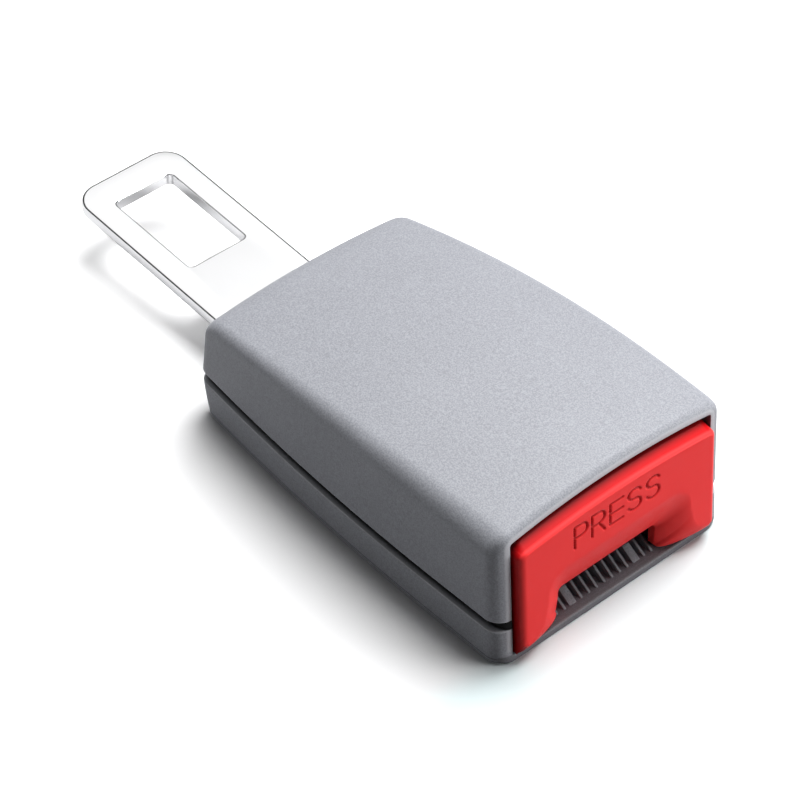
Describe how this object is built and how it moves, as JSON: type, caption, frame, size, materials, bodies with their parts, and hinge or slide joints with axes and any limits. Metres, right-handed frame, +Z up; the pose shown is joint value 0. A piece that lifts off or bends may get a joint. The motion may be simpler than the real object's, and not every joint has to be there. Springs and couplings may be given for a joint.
{
  "type": "seat belt extender",
  "caption": "Rigid seat belt extender: a plated metal tongue joined to a grey buckle housing with a red push button above the belt slot.",
  "frame": {"origin": "centre of the bounding box in X and Y, on the housing's flat base", "axes": "+X from the tongue's end to the red button, +Y across the width, +Z up through the arched top"},
  "size_m": [0.1248, 0.0494, 0.0283],
  "materials": {
    "housing_grey": "fine spark-eroded grain, moulded",
    "button_red": "satin, moulded",
    "plated_blade": "bright plated",
    "frame_steel": "zinc plated",
    "spring_wire": "drawn wire",
    "slider_black": "moulded"
  },
  "bodies": {
    "housing": {"upper_cover": "housing_grey", "lower_cover": "housing_grey", "tongue_blade": "plated_blade", "buckle_frame": "frame_steel", "rivet_left": "frame_steel", "rivet_right": "frame_steel", "latch_pin": "frame_steel", "ejector_spring": "spring_wire", "button_spring_left": "spring_wire", "button_spring_right": "spring_wire", "latch_spring": "spring_wire"},
    "button": {"release_button": "button_red", "lock_bar": "frame_steel"},
    "latch": {"latch": "frame_steel"},
    "ejector": {"ejector": "slider_black"}
  },
  "joints": [
    {"name": "button_press", "type": "slide", "parent": "housing", "child": "button", "axis": [-1, 0, 0], "range_m": [0, 0.004], "stiffness_N_per_m": 1500, "springref_m": -0.003, "deforming": ["button_spring_left", "button_spring_right"]},
    {"name": "latch_lift", "type": "hinge", "parent": "housing", "child": "latch", "pos_m": [0.01697, 0, 0.013], "axis": [0, -1, 0], "range_deg": [0, 9], "deforming": ["latch_spring"]},
    {"name": "ejector_slide", "type": "slide", "parent": "housing", "child": "ejector", "axis": [-1, 0, 0], "range_m": [0, 0.008], "stiffness_N_per_m": 400, "springref_m": -0.004, "deforming": ["ejector_spring"]}
  ],
  "couplings": [
    {"joint": "latch_lift", "follows": "button_press", "rad_per_m": 39.27}
  ]
}
